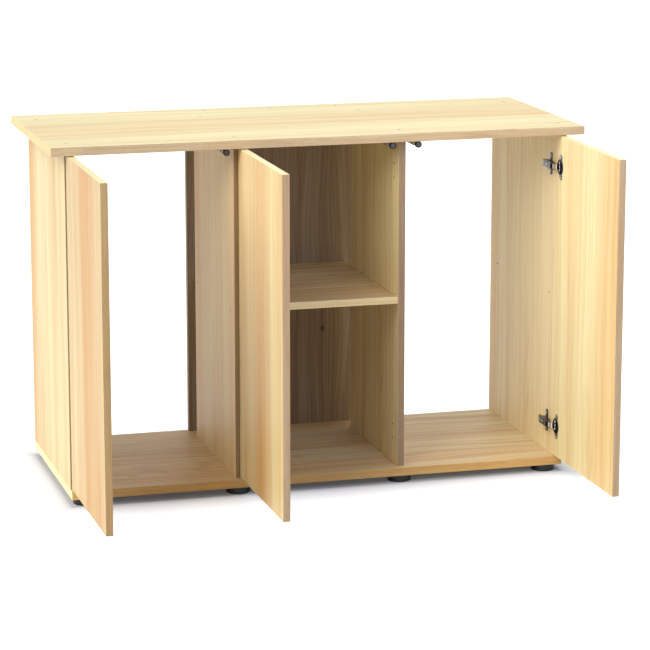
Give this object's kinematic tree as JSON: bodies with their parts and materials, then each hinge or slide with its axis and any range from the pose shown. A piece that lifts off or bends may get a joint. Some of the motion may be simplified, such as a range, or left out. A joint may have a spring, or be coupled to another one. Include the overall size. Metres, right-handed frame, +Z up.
{
  "type": "aquarium cabinet",
  "caption": "Low wood-grain cabinet for an aquarium: overhanging top, side bays open at the back, shelf bay, doors on concealed hinges with push latches, round feet.",
  "frame": {"origin": "on the floor, in the middle of the box that the cabinet fills with its doors open", "axes": "+X along the front to the right, +Y to the back, +Z up"},
  "size_m": [1.21, 0.8586, 0.8],
  "materials": {
    "oak_board": "matt wood-grain melamine",
    "hinge_steel": "bright nickel plate",
    "screw_steel": "zinc plate",
    "foot_plastic": "satin black",
    "latch_grey": "satin grey",
    "latch_black": "satin black",
    "magnet_steel": "bright plate"
  },
  "bodies": {
    "carcass": {"top_panel": "oak_board", "bottom_panel": "oak_board", "left_side": "oak_board", "right_side": "oak_board", "left_divider": "oak_board", "right_divider": "oak_board", "back_panel": "oak_board", "centre_shelf": "oak_board", "left_upper_hinge_plate": "hinge_steel", "left_upper_hinge_arm": "hinge_steel", "left_lower_hinge_plate": "hinge_steel", "left_lower_hinge_arm": "hinge_steel", "left_latch_housing": "latch_grey", "centre_upper_hinge_plate": "hinge_steel", "centre_upper_hinge_arm": "hinge_steel", "centre_lower_hinge_plate": "hinge_steel", "centre_lower_hinge_arm": "hinge_steel", "centre_latch_housing": "latch_grey", "right_upper_hinge_plate": "hinge_steel", "right_upper_hinge_arm": "hinge_steel", "right_lower_hinge_plate": "hinge_steel", "right_lower_hinge_arm": "hinge_steel", "right_latch_housing": "latch_grey", "hinge_screws": "screw_steel", "top_screws": "screw_steel", "bottom_screws": "screw_steel", "latch_screws": "screw_steel", "shelf_pins": "screw_steel", "front_feet": "foot_plastic", "rear_feet": "foot_plastic"},
    "left_linkage": {"left_hinge_links": "hinge_steel", "left_hinge_pins": "hinge_steel"},
    "left_leaf": {"left_door": "oak_board", "left_cup_screws": "screw_steel", "left_upper_hinge_cup": "hinge_steel", "left_lower_hinge_cup": "hinge_steel"},
    "left_plunger": {"left_latch_rod": "latch_grey", "left_latch_tip": "latch_black", "left_latch_magnet": "magnet_steel"},
    "centre_linkage": {"centre_hinge_links": "hinge_steel", "centre_hinge_pins": "hinge_steel"},
    "centre_leaf": {"centre_door": "oak_board", "centre_cup_screws": "screw_steel", "centre_upper_hinge_cup": "hinge_steel", "centre_lower_hinge_cup": "hinge_steel"},
    "centre_plunger": {"centre_latch_rod": "latch_grey", "centre_latch_tip": "latch_black", "centre_latch_magnet": "magnet_steel"},
    "right_linkage": {"right_hinge_links": "hinge_steel", "right_hinge_pins": "hinge_steel"},
    "right_leaf": {"right_door": "oak_board", "right_cup_screws": "screw_steel", "right_upper_hinge_cup": "hinge_steel", "right_lower_hinge_cup": "hinge_steel"},
    "right_plunger": {"right_latch_rod": "latch_grey", "right_latch_tip": "latch_black", "right_latch_magnet": "magnet_steel"}
  },
  "joints": [
    {"name": "left_hinge_turn", "type": "hinge", "parent": "carcass", "child": "left_linkage", "pos_m": [-0.543, -0.05225, 0.408], "axis": [0, 0, 1], "range_deg": [-46.33, 7.97]},
    {"name": "left_door_swing", "type": "hinge", "parent": "left_linkage", "child": "left_leaf", "pos_m": [-0.55385, -0.06183, 0.408], "axis": [0, 0, 1], "range_deg": [-22.67, 136.03]},
    {"name": "left_latch_slide", "type": "slide", "parent": "carcass", "child": "left_plunger", "axis": [0, 1, 0], "range_m": [-0.00443, 0.0256]},
    {"name": "centre_hinge_turn", "type": "hinge", "parent": "carcass", "child": "centre_linkage", "pos_m": [-0.1625, -0.05225, 0.408], "axis": [0, 0, 1], "range_deg": [-46.33, 7.97]},
    {"name": "centre_door_swing", "type": "hinge", "parent": "centre_linkage", "child": "centre_leaf", "pos_m": [-0.17334, -0.06183, 0.408], "axis": [0, 0, 1], "range_deg": [-22.67, 136.03]},
    {"name": "centre_latch_slide", "type": "slide", "parent": "carcass", "child": "centre_plunger", "axis": [0, 1, 0], "range_m": [-0.00443, 0.0256]},
    {"name": "right_hinge_turn", "type": "hinge", "parent": "carcass", "child": "right_linkage", "pos_m": [0.543, -0.05225, 0.408], "axis": [0, 0, -1], "range_deg": [-46.33, 7.97]},
    {"name": "right_door_swing", "type": "hinge", "parent": "right_linkage", "child": "right_leaf", "pos_m": [0.55385, -0.06183, 0.408], "axis": [0, 0, -1], "range_deg": [-22.67, 136.03]},
    {"name": "right_latch_slide", "type": "slide", "parent": "carcass", "child": "right_plunger", "axis": [0, 1, 0], "range_m": [-0.00443, 0.0256]}
  ],
  "couplings": [
    {"joint": "left_hinge_turn", "follows": "left_door_swing", "ratio": -0.33838},
    {"joint": "left_latch_slide", "follows": "left_door_swing", "m_per_rad": 0.010698},
    {"joint": "centre_hinge_turn", "follows": "centre_door_swing", "ratio": -0.33838},
    {"joint": "centre_latch_slide", "follows": "centre_door_swing", "m_per_rad": 0.010698},
    {"joint": "right_hinge_turn", "follows": "right_door_swing", "ratio": -0.33838},
    {"joint": "right_latch_slide", "follows": "right_door_swing", "m_per_rad": 0.010698}
  ]
}
